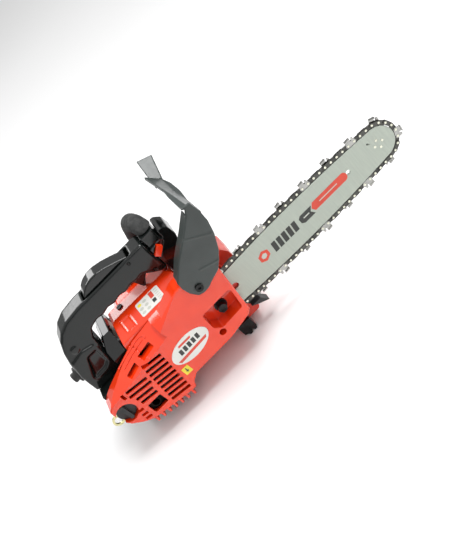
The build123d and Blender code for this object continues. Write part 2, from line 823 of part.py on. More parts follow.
with BuildPart() as bumper_spike:
    with BuildSketch(side(-22.1)):
        with BuildLine():
            Polyline(
                (52, 22), (52, 6), (56, 3.5), (58, 0.5), (62, 0.5), (64, 5), (67, 1.5), (70, 1.5),
                (72, 6), (72, 22), close=True,
            )
        make_face()
    extrude(amount=11.9)
finish(bumper_spike, "bumper_spike")

# ---------------------------------------------------------------- top cover
top_section = [(-37, 60), (-37, 131), (-8, 146), (16, 146), (23.6, 138), (23.6, 60)]
top_profile = [
    (-58, 112), (-56.5, 126), (-50, 144.5), (-45, 146.2), (44, 146.2), (51, 142), (52, 121), (24, 121),
    (14, 112), (-18, 104), (-54, 104),
]
with BuildPart() as top_cover:
    with BuildSketch(ahead(-60)):
        add(outline(top_section, 3))
    extrude(amount=120)
    with BuildSketch(side(-40)):
        add(outline(top_profile, 2.0))
    extrude(amount=-80, mode=Mode.INTERSECT)
    # hollow over the cylinder and the carburettor, open below and at the lower rear
    with BuildSketch(ahead(-43.6)):
        add(outline([(-35, 90), (-35, 130.4), (-7.4, 144.2), (15, 144.2), (21.2, 137), (21.2, 90)], 1.5))
    extrude(amount=92, mode=Mode.SUBTRACT)
    with BuildSketch(ahead(-60)):
        add(outline([(-31, 90), (-31, 126), (-14, 134), (15, 134), (21.2, 128), (21.2, 90)], 1.5))
    extrude(amount=18, mode=Mode.SUBTRACT)
    # raised panel edge along the near slope
    near_slope = Plane(origin=(0, -22.5, 138.5), x_dir=(1, 0, 0), z_dir=(0, -15, 29))
    with BuildSketch(near_slope):
        with Locations((-33, -1)):
            RectangleRounded(16, 22, 3)
            RectangleRounded(12.5, 18.5, 2, mode=Mode.SUBTRACT)
    extrude(amount=0.8)
finish(top_cover, "top_cover")

# ---------------------------------------------------------------- badge and label plates
with BuildPart() as label_plates:
    # badge on the clutch cover
    with BuildSketch(side(COVER_Y)):
        with BuildLine():
            Polyline(
                (-27, 79), (-16, 90), (-4, 92), (4, 96), (12, 93), (24, 88), (32, 77),
                (22, 66), (8, 60), (-10, 60), (-22, 68), close=True,
            )
        make_face()
    extrude(amount=0.8)
    # small plate under the badge
    with BuildSketch(side(COVER_Y)):
        with Locations((-18, 52)):
            RectangleRounded(10.5, 11, 1)
    extrude(amount=0.5)
    # plate on the slope of the top cover
    with BuildSketch(near_slope):
        with Locations((6, 0)):
            RectangleRounded(38, 21, 2)
    extrude(amount=0.5)
finish(label_plates, "label_plates")

# ---------------------------------------------------------------- fuel tank and rear casing
tank_outline = [(-126, 12), (-110, 0), (-62, 0), (-54, 10), (-54, 88), (-62, 95), (-124, 95), (-128, 60)]
with BuildPart() as fuel_tank:
    with BuildSketch(side(-17)):
        add(outline(tank_outline, 4))
    extrude(amount=-62)
    # filler shoulder reaching out to the fuel cap
    with BuildSketch(side(-16)):
        with BuildLine():
            Polyline((-126, 46), (-100, 46), (-100, 95), (-126, 95), close=True)
        make_face()
    extrude(amount=21)
    with BuildSketch(side(-37)):
        with Locations((CAP_X, CAP_Z)):
            Circle(11)
    extrude(amount=13)
    fillet(fuel_tank.edges().filter_by(Axis.X).group_by(Axis.Y)[-1], 3)
    with BuildSketch(side(-13)):
        add(outline(tank_outline, 4, inset=3))
    extrude(amount=-55, mode=Mode.SUBTRACT)
    with BuildSketch(side(-51)):
        with Locations((CAP_X, CAP_Z)):
            Circle(8)
    extrude(amount=-40, mode=Mode.SUBTRACT)
finish(fuel_tank, "fuel_tank")

with BuildPart() as fuel_cap:
    with BuildSketch(right_side(-50.4, CAP_X, CAP_Z)):
        Circle(13.2)
    extrude(amount=7)
    with BuildSketch(right_side(-57.4, CAP_X, CAP_Z)):
        RectangleRounded(5.5, 25, 2)
    extrude(amount=5)
    with BuildSketch(right_side(-50.4, CAP_X, CAP_Z)):
        Circle(8 - FIT)
    extrude(amount=-10)
finish(fuel_cap, "fuel_cap")

with BuildPart() as oil_cap:
    with BuildSketch(left_side(CASE_LEFT_Y + 0.4, 66, 34)):
        Circle(13)
    extrude(amount=6)
    with BuildSketch(left_side(CASE_LEFT_Y + 6.4, 66, 34)):
        RectangleRounded(5.5, 24, 2)
    extrude(amount=4)
    with BuildSketch(left_side(CASE_LEFT_Y + 0.4, 66, 34)):
        Circle(10 - FIT)
    extrude(amount=-7)
finish(oil_cap, "oil_cap")

RING_X = -143.5
RING_Y = -24.0
RING_Z = 44.0
RING_R = 5.5
RING_T = 2.6
with BuildPart() as lanyard_ring:
    with BuildSketch(left_side(RING_Y, RING_X, RING_Z)):
        Circle(8.5)
        with Locations((-8.75, 5)):
            Rectangle(17.5, 12)
        Circle(RING_R, mode=Mode.SUBTRACT)
        with Locations((-13, 5)):
            Circle(2, mode=Mode.SUBTRACT)
    extrude(amount=RING_T)
finish(lanyard_ring, "lanyard_ring")

# ---------------------------------------------------------------- top handle
TRIGGER_X = 40.0
TRIGGER_Z = 160.5
LOCKOUT_X = 24.0
LOCKOUT_Z = 193.0
PIN_R = 1.6
CHOKE_Y = 6.0
CHOKE_Z = 120.0

handle_arch = [
    (-128, 95), (-129, 108), (-127.5, 128), (-123, 148), (-116, 166), (-107, 181), (-96, 191), (-82, 197),
    (-60, 199.5), (53, 199.5), (53, 150), (46, 150), (34, 159), (24, 168.5), (15, 166.8), (6, 169.4),
    (-4, 166.6), (-14, 169.4), (-24, 166.6), (-34, 169.4), (-44, 166.6), (-54, 168.6), (-67, 165),
    (-75, 154),
    (-80, 126), (-86, 104), (-86, 95),
]
HANDLE_ROUND = 3.5
with BuildPart() as handle_body:
    with BuildSketch(side(0)):
        add(outline(handle_arch, 4))
    extrude(amount=HANDLE_HALF_W, both=True)
    fillet(handle_body.faces().sort_by(Axis.Y)[0].edges(), HANDLE_ROUND)
    fillet(handle_body.faces().sort_by(Axis.Y)[-1].edges(), HANDLE_ROUND)
    # broad foot of the rear leg
    with BuildSketch(side(HANDLE_HALF_W + 2)):
        add(outline([(-128.6, 95), (-127, 126), (-119, 150), (-100, 154), (-82, 149), (-82, 95)], 3))
    extrude(amount=2 * HANDLE_HALF_W + 4)
    chamfer(handle_body.faces().sort_by(Axis.Y)[0].edges(), 1.2)
    # sunk panel on the right face of the foot, and a boss above it
    with BuildSketch(side(-HANDLE_HALF_W - 2)):
        add(outline([(-117, 111), (-101, 141), (-86, 141), (-88.5, 117), (-97, 112)], 2))
    extrude(amount=-3, mode=Mode.SUBTRACT)
    with BuildSketch(side(-HANDLE_HALF_W)):
        with Locations((-102, 161)):
            Circle(5)
    extrude(amount=1.6)
    # hollow for the trigger and the throttle lock, with their slots
    with BuildSketch(side(0)):
        add(outline([(-50, 173), (-50, 196), (50, 196), (50, 154), (38, 163), (30, 173)]))
    extrude(amount=9, both=True, mode=Mode.SUBTRACT)
    with BuildSketch(level(150, 24, 0)):
        Rectangle(44, 11)
    extrude(amount=24, mode=Mode.SUBTRACT)
    with BuildSketch(level(184, -7.5, 0)):
        Rectangle(79, 22.6)
    extrude(amount=18, mode=Mode.SUBTRACT)
    # pin holes, and the bore for the choke rod
    with BuildSketch(side(0)):
        with Locations((TRIGGER_X, TRIGGER_Z), (LOCKOUT_X, LOCKOUT_Z)):
            Circle(PIN_R)
    extrude(amount=20, both=True, mode=Mode.SUBTRACT)
    with BuildSketch(ahead(-131, CHOKE_Y, CHOKE_Z)):
        Circle(2.5 + FIT)
    extrude(amount=24, mode=Mode.SUBTRACT)
finish(handle_body, "handle_body")

with BuildPart() as handle_pins:
    with BuildSketch(side(0)):
        with Locations((TRIGGER_X, TRIGGER_Z), (LOCKOUT_X, LOCKOUT_Z)):
            Circle(PIN_R)
    extrude(amount=HANDLE_HALF_W + 0.4, both=True)
finish(handle_pins, "handle_pins")

with BuildPart() as throttle_trigger:
    with BuildSketch(side(0)):
        with BuildLine():
            Polyline(
                (5.5, 171), (8, 162), (12.5, 148.5), (15.5, 148), (22, 156), (31, 163), (36, 157.6),
                (40, 157), (43.5, 160.5), (40, 165), (33, 171), close=True,
            )
        make_face()
        with Locations((TRIGGER_X, TRIGGER_Z)):
            Circle(PIN_R + FIT, mode=Mode.SUBTRACT)
    extrude(amount=4.6, both=True)
finish(throttle_trigger, "throttle_trigger")

with BuildPart() as throttle_lock:
    # the pad that the palm presses
    with BuildSketch(side(0)):
        with BuildLine():
            Polyline(
                (-45, 197), (-43.5, 201), (-39, 206), (-32, 210), (-23, 212.4), (-12, 212.4), (0, 209.6),
                (14, 204.4), (28, 198.5), (28, 196.5), (-44, 196.5), close=True,
            )
        make_face()
    extrude(amount=10.6, both=True)
    # the arm below it, on the pin
    with BuildSketch(side(0)):
        with BuildLine():
            Polyline((28, 197), (28, 191), (20, 189.5), (8, 195), (-30, 195), (-36, 197), close=True)
        make_face()
    extrude(amount=6.8, both=True)
    with BuildSketch(side(0)):
        with Locations((LOCKOUT_X, LOCKOUT_Z)):
            Circle(PIN_R + FIT)
    extrude(amount=20, both=True, mode=Mode.SUBTRACT)
finish(throttle_lock, "throttle_lock")

housing_outline = [
    (53.4, 122), (53.4, 186), (76, 186), (76, 199), (82, 198), (89, 191), (90, 178), (86, 167),
    (75, 152), (75, 122),
]
with BuildPart() as switch_housing:
    with BuildSketch(side(-18)):
        add(outline(housing_outline, 2))
    extrude(amount=-34)
    with BuildSketch(level(140, TUBE_X, 0)):
        Circle(TUBE_R)
    extrude(amount=50, mode=Mode.SUBTRACT)
    # channel of the stop switch on the right face
    with BuildSketch(side(-18.1)):
        with Locations(Location((62.2, 179.5, 0), (0, 0, 38))):
            Rectangle(22, 9)
    extrude(amount=-4, mode=Mode.SUBTRACT)
finish(switch_housing, "switch_housing")

with BuildPart() as stop_switch:
    with BuildSketch(side(-14.6)):
        with Locations(Location((60.3, 178, 0), (0, 0, 38))):
            Rectangle(14, 7.4)
    extrude(amount=6.4)
finish(stop_switch, "stop_switch")

with BuildPart() as handle_clamp:
    with BuildSketch(level(186.2, 64.2, 0.6)):
        RectangleRounded(20, 29, 3)
    extrude(amount=16.3)
    with BuildSketch(level(180, TUBE_X, 0)):
        Circle(TUBE_R)
    extrude(amount=40, mode=Mode.SUBTRACT)
finish(handle_clamp, "handle_clamp")

# ---------------------------------------------------------------- front handle
tube_route = [
    (TUBE_X, 0, 141), (TUBE_X, 0, 211), (55, 38, 205), (38, 74, 152), (33, 88, 98), (37, 84, 44),
    (41, 72, 14), (41, 24.4, 14),
]
tube_bends = [15, 30, 60, 60, 40, 12]
with BuildPart() as front_handle_tube:
    with BuildLine() as tube_line:
        FilletPolyline(*tube_route, radius=tube_bends)
    with BuildSketch(level(141, TUBE_X, 0)):
        Circle(TUBE_R)
    sweep(path=tube_line.line)
finish(front_handle_tube, "front_handle_tube")

foam_route = [(TUBE_X, 0, 180), (TUBE_X, 0, 211), (55, 38, 205), (38, 74, 152), (33, 88, 98), (35, 86, 71)]
with BuildPart() as foam_grip:
    with BuildLine() as foam_line:
        FilletPolyline(*foam_route, radius=[15, 30, 60, 60])
    with BuildSketch(level(180, TUBE_X, 0)):
        Circle(GRIP_R)
        Circle(TUBE_R + 0.02, mode=Mode.SUBTRACT)
    sweep(path=foam_line.line)
    with BuildSketch(level(170, TUBE_X, 0)):
        Circle(GRIP_R + 6)
    extrude(amount=32.8, mode=Mode.SUBTRACT)
finish(foam_grip, "foam_grip")

# ---------------------------------------------------------------- vibration mounts
with BuildPart() as vibration_mounts:
    with BuildSketch(level(116, 64, -8)):
        Circle(7)
    extrude(amount=6)
    with BuildSketch(ahead(-54, 8, 60)):
        Circle(9)
    extrude(amount=6)
    with BuildSketch(ahead(-54, 8, 30)):
        Circle(9)
    extrude(amount=6)
finish(vibration_mounts, "vibration_mounts")

# ---------------------------------------------------------------- starter side
housing_left = [
    (-52, 44), (-40, 26), (30, 26), (48, 58), (62, 64), (62, 108), (44, 132), (-38, 132), (-52, 114),
]
with BuildPart() as starter_housing:
    with BuildSketch(side(CASE_LEFT_Y + 0.1)):
        add(outline(housing_left, 6))
    extrude(amount=-(STARTER_Y - CASE_LEFT_Y))
    fillet(starter_housing.faces().sort_by(Axis.Y)[-1].edges(), 5)
    with BuildSketch(side(CASE_LEFT_Y)):
        add(outline(housing_left, 6, inset=WALL))
    extrude(amount=-(STARTER_Y - CASE_LEFT_Y - 6), mode=Mode.SUBTRACT)
    # post for the rope pulley
    with BuildSketch(side(48.4)):
        with Locations((0, AXIS_Z)):
            Circle(4)
    extrude(amount=-14)
    # cooling air slots around the pulley post
    with BuildSketch(side(STARTER_Y + 1)):
        with Locations((0, AXIS_Z)):
            with PolarLocations(33, 18):
                SlotOverall(17, 3.6)
    extrude(amount=12, mode=Mode.SUBTRACT)
    # rope guide on the top
    with BuildSketch(level(126, -4, 55)):
        Circle(3.2)
    extrude(amount=12, mode=Mode.SUBTRACT)
finish(starter_housing, "starter_housing")

with BuildPart() as flywheel:
    with BuildSketch(side(27)):
        with Locations((0, AXIS_Z)):
            Circle(36)
            Circle(JOURNAL_R + FIT, mode=Mode.SUBTRACT)
    extrude(amount=-9)
    with BuildSketch(side(35)):
        with Locations((0, AXIS_Z)):
            with PolarLocations(27, 14):
                Rectangle(15, 2.2)
    extrude(amount=-8)
    with BuildSketch(side(35)):
        with Locations((0, AXIS_Z)):
            Circle(12)
            Circle(JOURNAL_R + FIT, mode=Mode.SUBTRACT)
    extrude(amount=-9)
finish(flywheel, "flywheel")

with BuildPart() as rope_pulley:
    with BuildSketch(side(49)):
        with Locations((0, AXIS_Z)):
            Circle(24)
            Circle(4 + FIT, mode=Mode.SUBTRACT)
    extrude(amount=-1.5)
    with BuildSketch(side(50.5)):
        with Locations((0, AXIS_Z)):
            Circle(18)
            Circle(4 + FIT, mode=Mode.SUBTRACT)
    extrude(amount=-3.5)
    with BuildSketch(side(54)):
        with Locations((0, AXIS_Z)):
            Circle(24)
            Circle(4 + FIT, mode=Mode.SUBTRACT)
    extrude(amount=-1.5)
finish(rope_pulley, "rope_pulley")

with BuildPart() as recoil_spring:
    for number in range(5):
        with BuildSketch(side(56.2)):
            with Locations((0, AXIS_Z)):
                Circle(10 + 2.4 * number)
                Circle(9 + 2.4 * number, mode=Mode.SUBTRACT)
        extrude(amount=-3.2)
finish(recoil_spring, "recoil_spring")

with BuildPart() as starter_grip:
    with BuildSketch(level(138, -4, 55)):
        RectangleRounded(30, 13, 5)
    extrude(amount=10)
    with BuildSketch(level(132.6, -4, 55)):
        Circle(5.5)
    extrude(amount=6)
finish(starter_grip, "starter_grip")

# ---------------------------------------------------------------- choke
with BuildPart() as choke_knob:
    with BuildSketch(ahead(-129.6, CHOKE_Y, CHOKE_Z)):
        Circle(11.5)
    extrude(amount=-4)
    with BuildSketch(ahead(-133.6, CHOKE_Y, CHOKE_Z)):
        Circle(7)
    extrude(amount=-7.5)
    with BuildSketch(ahead(-129.6, CHOKE_Y, CHOKE_Z)):
        Circle(2.5)
    extrude(amount=20)
finish(choke_knob, "choke_knob")

# ---------------------------------------------------------------- hand guard
arm_rear_edge = [(52, 157), (69, 174), (82, 184.5), (95, 194), (107, 204), (117, 212.5)]
arm_outline = arm_rear_edge + [
    (124, 222.5), (131.5, 222.5), (133, 206), (131.5, 189), (126, 171), (115, 150), (105, 138.5), (97, 131),
    (82, 126), (74, 122.5), (66, 121.5), (58, 124.5), (52.5, 136), (51, 147),
]
REAR_FLANGE_DEPTH = 16.0
# stations across the saw: Y, top edge X, bottom edge X, rear lip width, front lip width
blade_stations = [
    (-69, 126.8, 133.2, 7.5, 0.6),
    (-28, 121.0, 129.0, 5.0, 0.8),
    (3, 116.0, 125.8, 1.0, 4.0),
    (34, 111.2, 122.6, 0.8, 4.0),
    (58, 107.4, 120.0, 0.8, 0.8),
]
BLADE_TOP_Z = 222.0
BLADE_LOW_Z = 203.5
with BuildPart() as hand_guard:
    with BuildSketch(side(GUARD_Y)):
        add(outline(arm_outline, 1.2))
    extrude(amount=GUARD_T)
    # flange turned in along the rear edge of the arm
    with BuildSketch(side(GUARD_Y + REAR_FLANGE_DEPTH)):
        with BuildLine():
            Polyline(*arm_rear_edge)
            Polyline(*[(x + 1.7, z - 1.9) for x, z in arm_rear_edge])
            Line(arm_rear_edge[0], (arm_rear_edge[0][0] + 1.7, arm_rear_edge[0][1] - 1.9))
            Line(arm_rear_edge[-1], (arm_rear_edge[-1][0] + 1.7, arm_rear_edge[-1][1] - 1.9))
        make_face()
    extrude(amount=REAR_FLANGE_DEPTH + 1)
    # the blade that crosses in front of the front handle
    for y, top_x, low_x, rear_lip, front_lip in blade_stations:
        with BuildSketch(side(y)):
            with BuildLine():
                Polyline(
                    (top_x - rear_lip, BLADE_TOP_Z + 1.4), (top_x + 0.6, BLADE_TOP_Z),
                    (low_x + 0.4, BLADE_LOW_Z + 1.0), (low_x + front_lip, BLADE_LOW_Z + 1.6),
                    (low_x + front_lip, BLADE_LOW_Z - 0.6), (low_x - 2.4, BLADE_LOW_Z - 1.6),
                    (top_x - 2.4, BLADE_TOP_Z - 2.6), (top_x - rear_lip, BLADE_TOP_Z - 1.0), close=True,
                )
            make_face()
    loft(ruled=True)
    # the wing at the far left end, leaning outwards
    wing_plane = Plane(origin=(114, 56, 205), x_dir=(18, 0, -7), z_dir=(240, -392, 600))
    with BuildSketch(wing_plane):
        with BuildLine():
            Polyline((-5.5, -6), (7.5, -6), (11.0, 42), (-10.5, 42), close=True)
        make_face()
    extrude(amount=-2.8)
    # ribs on the outer face of the arm
    for x, z, length, lean in ((109.5, 183, 37, -35), (94, 145, 25, -20)):
        with BuildSketch(side(GUARD_Y - GUARD_T)):
            with Locations(Location((x, z, 0), (0, 0, lean))):
                Rectangle(length, 1.5)
        extrude(amount=0.8)
    with BuildSketch(side(GUARD_Y)):
        with Locations((PIVOT_X, PIVOT_Z)):
            Circle(3.0 + FIT)
    extrude(amount=GUARD_T, mode=Mode.SUBTRACT)
finish(hand_guard, "hand_guard")

# ---------------------------------------------------------------- fasteners
with BuildPart() as casing_screws:
    # starter housing corners
    for x, z in ((-43, 46), (28, 34), (53, 98), (-41, 116)):
        with BuildSketch(left_side(STARTER_Y + 0.1, x, z)):
            Circle(3.6)
            RegularPolygon(1.8, 6, mode=Mode.SUBTRACT)
        extrude(amount=1.6)
    # lower rear corner of the clutch cover
    with BuildSketch(side(-38.4)):
        with Locations((-24, 30)):
            Circle(2.0)
    extrude(amount=4)
    # top cover screw
    with BuildSketch(level(146, -30, 6)):
        Circle(4.2)
        Rectangle(6, 1.2, mode=Mode.SUBTRACT)
    extrude(amount=2)
    # pivot screw of the hand guard, with its spacer
    with BuildSketch(side(COVER_Y)):
        with Locations((PIVOT_X, PIVOT_Z)):
            Circle(5.4)
    extrude(amount=COVER_Y - GUARD_Y - GAP)
    with BuildSketch(side(COVER_Y)):
        with Locations((PIVOT_X, PIVOT_Z)):
            Circle(3.0)
    extrude(amount=COVER_Y - GUARD_Y + GUARD_T + GAP)
    with BuildSketch(side(GUARD_Y - GUARD_T - GAP)):
        with Locations((PIVOT_X, PIVOT_Z)):
            Circle(5.2)
            RegularPolygon(2.2, 6, mode=Mode.SUBTRACT)
    extrude(amount=2.2)
finish(casing_screws, "casing_screws")
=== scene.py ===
import bpy, bmesh, math, json
from mathutils import Vector, Matrix, noise as cell_noise


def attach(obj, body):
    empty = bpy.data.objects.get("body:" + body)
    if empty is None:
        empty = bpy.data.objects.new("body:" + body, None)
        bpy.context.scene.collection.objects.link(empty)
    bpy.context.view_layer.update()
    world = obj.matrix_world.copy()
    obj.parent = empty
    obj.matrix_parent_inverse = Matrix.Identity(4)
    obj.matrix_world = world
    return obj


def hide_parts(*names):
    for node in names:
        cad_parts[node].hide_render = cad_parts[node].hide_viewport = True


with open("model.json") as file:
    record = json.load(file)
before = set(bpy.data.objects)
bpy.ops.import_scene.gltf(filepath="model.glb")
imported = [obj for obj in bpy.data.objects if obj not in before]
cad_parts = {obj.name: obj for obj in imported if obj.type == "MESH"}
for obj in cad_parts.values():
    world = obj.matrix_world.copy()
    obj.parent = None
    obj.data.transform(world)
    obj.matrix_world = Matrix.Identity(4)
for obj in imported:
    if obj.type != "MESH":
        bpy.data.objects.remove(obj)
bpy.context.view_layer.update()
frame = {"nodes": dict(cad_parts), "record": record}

MM = 0.001


# ------------------------------------------------------------------ camera
CAMERA_AZIMUTH = 6.385               # degrees, from straight in front of the saw's right side
CAMERA_ELEVATION = 34.0
CAMERA_ROLL = 48.449
CAMERA_TARGET = (96.57, -36.0, 89.05)  # millimetres
CAMERA_DISTANCE = 1.1                # metres
CAMERA_LENS = 57.71
CAMERA_SENSOR = 36.0


def set_camera():
    azimuth = math.radians(CAMERA_AZIMUTH)
    elevation = math.radians(CAMERA_ELEVATION)
    roll = math.radians(CAMERA_ROLL)
    target = Vector(CAMERA_TARGET) * MM
    back = Vector((math.sin(azimuth) * math.cos(elevation),
                   -math.cos(azimuth) * math.cos(elevation),
                   math.sin(elevation)))
    right = Vector((math.cos(azimuth), math.sin(azimuth), 0.0))
    up = back.cross(right)
    cam_right = math.cos(roll) * right - math.sin(roll) * up
    cam_up = math.sin(roll) * right + math.cos(roll) * up
    data = bpy.data.cameras.new("camera")
    data.lens = CAMERA_LENS
    data.sensor_width = CAMERA_SENSOR
    data.clip_start = 0.01
    cam = bpy.data.objects.new("camera", data)
    place = Matrix((cam_right, cam_up, back)).transposed().to_4x4()
    place.translation = target + back * CAMERA_DISTANCE
    cam.matrix_world = place
    bpy.context.scene.collection.objects.link(cam)
    bpy.context.scene.camera = cam


set_camera()


# ------------------------------------------------------------------ materials
def new_material(name):
    mat = bpy.data.materials.new(name)
    mat.use_nodes = True
    tree = mat.node_tree
    shader = tree.nodes["Principled BSDF"]
    return mat, tree, shader


def ramp(tree, source, stops):
    node = tree.nodes.new("ShaderNodeValToRGB")
    elements = node.color_ramp.elements
    while len(elements) < len(stops):
        elements.new(0.5)
    for element, (position, colour) in zip(elements, stops):
        element.position = position
        element.color = (*colour, 1.0) if len(colour) == 3 else colour
    tree.links.new(source, node.inputs["Fac"])
    return node.outputs["Color"]


def noise(tree, scale, detail=4.0, rough=0.55, stretch=None):
    coords = tree.nodes.new("ShaderNodeTexCoord")
    node = tree.nodes.new("ShaderNodeTexNoise")
    node.inputs["Scale"].default_value = scale
    node.inputs["Detail"].default_value = detail
    node.inputs["Roughness"].default_value = rough
    if stretch:
        mapping = tree.nodes.new("ShaderNodeMapping")
        mapping.inputs["Scale"].default_value = stretch
        tree.links.new(coords.outputs["Object"], mapping.inputs["Vector"])
        tree.links.new(mapping.outputs["Vector"], node.inputs["Vector"])
    else:
        tree.links.new(coords.outputs["Object"], node.inputs["Vector"])
    return node.outputs["Fac"]


def soft_edges(tree, radius):
    """Rounds the shaded corners by a small radius, as moulded and pressed parts have."""
    node = tree.nodes.new("ShaderNodeBevel")
    node.samples = 4
    node.inputs["Radius"].default_value = radius
    return node.outputs["Normal"]


def bump(tree, shader, height, strength, distance, edge=0.0):
    node = tree.nodes.new("ShaderNodeBump")
    node.inputs["Strength"].default_value = strength
    node.inputs["Distance"].default_value = distance
    tree.links.new(height, node.inputs["Height"])
    if edge:
        tree.links.new(soft_edges(tree, edge), node.inputs["Normal"])
    tree.links.new(node.outputs["Normal"], shader.inputs["Normal"])
    return node


def gloss(tree, shader, source, low, high, rough):
    """Spreads the roughness between its two values over the range low to high of a noise."""
    stops = [(low, (rough[0],) * 3), (high, (rough[1],) * 3)]
    tree.links.new(ramp(tree, source, stops), shader.inputs["Roughness"])


def plastic(name, dark, light, rough=(0.3, 0.42), grain=900.0, grain_strength=0.15, coat=0.0,
            patch=22.0, edge=0.0007):
    """Moulded plastic: patchy colour, fine grain, uneven gloss, rounded corners."""
    mat, tree, shader = new_material(name)
    patches = noise(tree, patch, 5.0)
    tree.links.new(ramp(tree, patches, [(0.3, dark), (0.7, light)]), shader.inputs["Base Color"])
    sheen = noise(tree, patch * 6.0, 6.0, 0.65)
    gloss(tree, shader, sheen, 0.3, 0.75, rough)
    bump(tree, shader, noise(tree, grain, 2.0), grain_strength, 0.0002, edge)
    shader.inputs["Coat Weight"].default_value = coat
    shader.inputs["Coat Roughness"].default_value = 0.05
    return mat


def metal(name, dark, light, rough=(0.25, 0.4), stretch=(30.0, 30.0, 900.0), grain_strength=0.08,
          metallic=1.0, edge=0.0003):
    """Worked metal: streaks along the grain and uneven polish."""
    mat, tree, shader = new_material(name)
    streaks = noise(tree, 1.0, 4.0, 0.6, stretch)
    tree.links.new(ramp(tree, streaks, [(0.3, dark), (0.7, light)]), shader.inputs["Base Color"])
    gloss(tree, shader, streaks, 0.25, 0.8, rough)
    bump(tree, shader, streaks, grain_strength, 0.0001, edge)
    shader.inputs["Metallic"].default_value = metallic
    return mat


red = plastic("red_plastic", (0.78, 0.033, 0.003), (0.88, 0.046, 0.005),
              (0.14, 0.24), 700.0, 0.012, 0.6)
red_case = plastic("red_case", (0.60, 0.030, 0.012), (0.72, 0.042, 0.016),
                   (0.3, 0.45), 700.0, 0.25, 0.2)
dark_plastic = plastic("dark_plastic", (0.003, 0.0045, 0.004), (0.006, 0.008, 0.0075),
                       (0.10, 0.18), 700.0, 0.012, 0.0, edge=0.0011)
guard_plastic = plastic("guard_plastic", (0.026, 0.033, 0.031), (0.040, 0.050, 0.047),
                        (0.30, 0.42), 700.0, 0.03, 0.2, edge=0.0006)
black_gloss = plastic("black_gloss", (0.003, 0.004, 0.004), (0.006, 0.007, 0.007),
                      (0.06, 0.12), 700.0, 0.01, 0.2)
black_plastic = plastic("black_plastic", (0.012, 0.012, 0.012), (0.022, 0.022, 0.022),
                        (0.38, 0.52), 1400.0, 0.25)
rubber = plastic("rubber", (0.012, 0.012, 0.012), (0.022, 0.022, 0.022), (0.6, 0.75), 1600.0, 0.3)
foam = plastic("foam", (0.012, 0.013, 0.013), (0.045, 0.046, 0.045),
               (0.75, 0.9), 420.0, 1.0, 0.0, 160.0)
bar_steel = metal("bar_steel", (0.37, 0.405, 0.36), (0.43, 0.47, 0.41),
                  (0.34, 0.44), (900.0, 30.0, 30.0), 0.03, 0.85)
chain_dark = metal("chain_dark", (0.05, 0.05, 0.048), (0.13, 0.13, 0.12),
                   (0.28, 0.5), (90.0, 90.0, 90.0), 0.2)
chain_chrome = metal("chain_chrome", (0.30, 0.30, 0.29), (0.44, 0.44, 0.42),
                     (0.10, 0.22), (200.0, 200.0, 200.0), 0.05)
rivet = metal("rivet", (0.62, 0.62, 0.5), (0.8, 0.8, 0.68),
              (0.2, 0.35), (300.0, 300.0, 300.0), 0.05)
case_metal = metal("case_metal", (0.32, 0.33, 0.33), (0.45, 0.46, 0.46),
                   (0.45, 0.6), (180.0, 180.0, 180.0), 0.3)
muffler_steel = metal("muffler_steel", (0.012, 0.011, 0.01), (0.035, 0.03, 0.026),
                      (0.5, 0.7), (60.0, 60.0, 60.0), 0.2)
dark_steel = metal("dark_steel", (0.02, 0.02, 0.02), (0.05, 0.05, 0.05),
                   (0.3, 0.45), (120.0, 120.0, 120.0), 0.1)
zinc = metal("zinc", (0.45, 0.45, 0.42), (0.6, 0.6, 0.56), (0.25, 0.4), (160.0, 160.0, 160.0), 0.1)
zinc_yellow = metal("zinc_yellow", (0.62, 0.58, 0.30), (0.78, 0.74, 0.42),
                    (0.25, 0.4), (160.0, 160.0, 160.0), 0.1)
felt = plastic("felt", (0.5, 0.48, 0.42), (0.6, 0.58, 0.5), (0.85, 0.95), 900.0, 0.8)
label_white = plastic("label_white", (0.72, 0.72, 0.68), (0.80, 0.80, 0.76),
                      (0.25, 0.35), 900.0, 0.03)

BY_SLOT = {
    "bar_steel": bar_steel, "chain_dark": chain_dark, "chain_chrome": chain_chrome,
    "rivet_steel": rivet, "case_metal": case_metal, "muffler_steel": muffler_steel,
    "dark_steel": dark_steel, "zinc": zinc, "zinc_yellow": zinc_yellow, "red_plastic": red,
    "dark_plastic": dark_plastic, "black_gloss": black_gloss, "black_plastic": black_plastic,
    "red_case": red_case, "label_white": label_white, "black_rubber": rubber, "foam": foam,
    "filter_felt": felt,
}
for subpart in frame["record"]["subparts"]:
    node = frame["nodes"][subpart["node"]]
    for index in range(len(node.material_slots)):
        node.material_slots[index].material = BY_SLOT[subpart["material_slot"]]
    if not node.material_slots:
        node.data.materials.append(BY_SLOT[subpart["material_slot"]])


# ------------------------------------------------------------------ builders
def link(name, mesh, material, body, replaced=(), smooth=None):
    """Puts a finished mesh in the scene as a piece on one CAD body."""
    obj = bpy.data.objects.new(name, mesh)
    bpy.context.scene.collection.objects.link(obj)
    mesh.materials.clear()
    mesh.materials.append(material)
    if smooth:
        mesh.polygons.foreach_set("use_smooth", [True] * len(mesh.polygons))
    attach(obj, body)
    if replaced:
        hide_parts(*replaced)
    return obj


def softened(node, name, material, body, voxel, passes):
    """A moulded copy of a CAD piece: remeshed evenly and relaxed so that its corners are round."""
    source = frame["nodes"][node]
    work = bpy.data.objects.new("work", source.data.copy())
    bpy.context.scene.collection.objects.link(work)
    remesh = work.modifiers.new("remesh", "REMESH")
    remesh.mode = "VOXEL"
    remesh.voxel_size = voxel
    relax = work.modifiers.new("relax", "SMOOTH")
    relax.factor = 0.5
    relax.iterations = passes
    result = work.evaluated_get(bpy.context.evaluated_depsgraph_get())
    mesh = bpy.data.meshes.new_from_object(result)
    bpy.data.objects.remove(work)
    return link(name, mesh, material, body, (node,), True)


